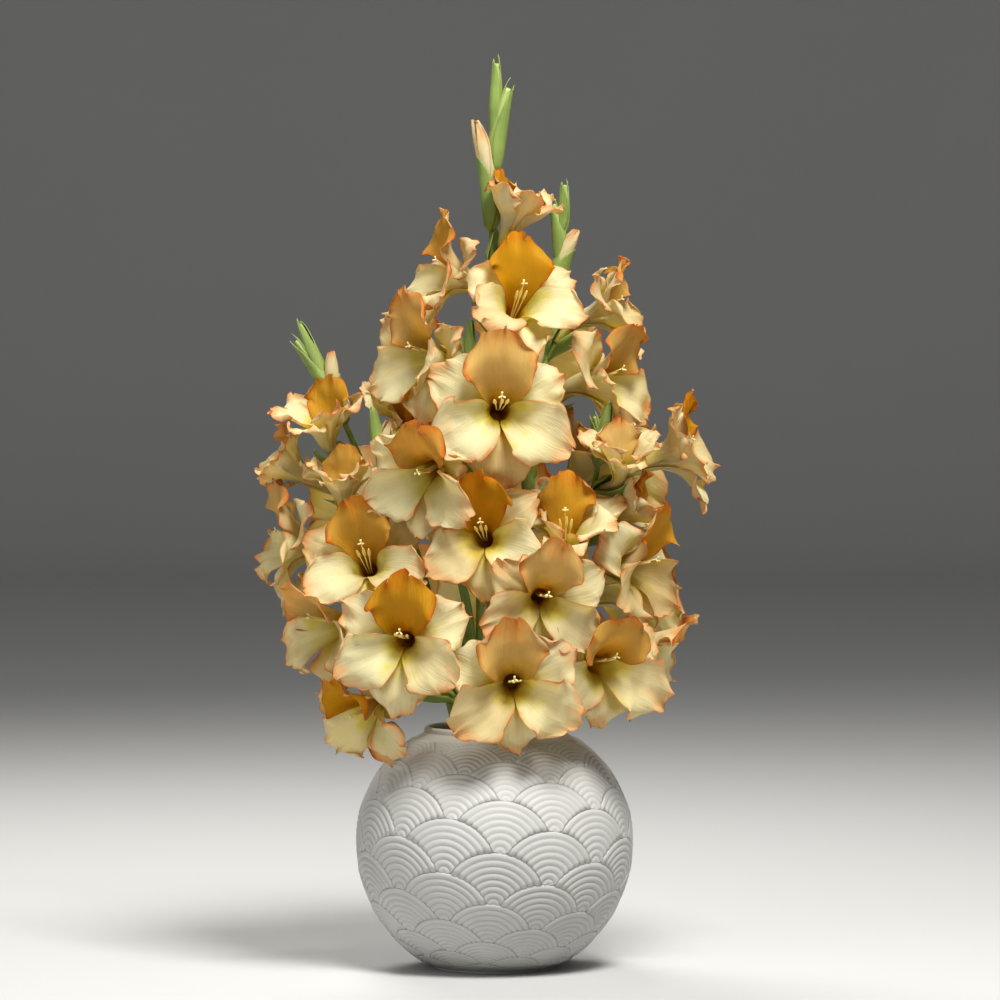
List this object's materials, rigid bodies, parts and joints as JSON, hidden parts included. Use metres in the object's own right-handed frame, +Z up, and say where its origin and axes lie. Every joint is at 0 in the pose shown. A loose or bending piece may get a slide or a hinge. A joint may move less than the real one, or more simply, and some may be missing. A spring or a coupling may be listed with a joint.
{
  "type": "gladiolus bouquet in a vase",
  "caption": "Cut gladiolus spikes with ruffled cream and apricot blooms, standing in water in a squat white ceramic vase with a flat foot.",
  "frame": {"origin": "centre of the flat foot of the vase, on the surface it stands on", "axes": "+Z up along the axis of the vase, -Y towards the front of the bouquet, +X to the right as seen from the front"},
  "size_m": [0.3681, 0.2902, 0.732],
  "materials": {
    "vase": "matte",
    "water": "gloss",
    "green": "satin",
    "petal": "satin"
  },
  "bodies": {
    "root": {"vase": "vase", "stem_centre": "green", "stem_back": "green", "stem_right": "green", "stem_left": "green", "stem_low_left": "green", "stem_low_front": "green", "stem_rear": "green", "water": "water", "bloom_centre_front": "petal", "bloom_low_front_hanging": "petal", "bloom_right_front": "petal", "bloom_low_left_front": "petal", "bloom_low_front_right": "petal", "bloom_low_front_high": "petal", "bloom_centre_hanging": "petal", "bloom_left_front": "petal", "bloom_right_up": "petal", "bloom_centre_left": "petal", "bloom_centre_high": "petal", "bloom_centre_left_high": "petal", "bloom_centre_top": "petal", "bloom_right_side": "petal", "bloom_right_slim": "petal", "bloom_right_outer": "petal", "bloom_right_top": "petal", "bloom_low_right_side": "petal", "bloom_low_left_side": "petal", "bloom_low_left_hanging": "petal", "bloom_low_left_high": "petal", "bloom_left_side": "petal", "bloom_left_up": "petal", "bloom_left_outer": "petal", "bloom_left_top": "petal", "bloom_back_side": "petal", "bloom_back_right": "petal", "bloom_back_up": "petal", "bloom_back_rear": "petal", "bloom_back_rear_low": "petal", "bloom_right_rear": "petal", "bloom_left_rear": "petal", "bloom_rear_high": "petal", "bloom_rear_middle": "petal", "bloom_rear_low": "petal", "bloom_rear_hanging": "petal"}
  },
  "joints": []
}
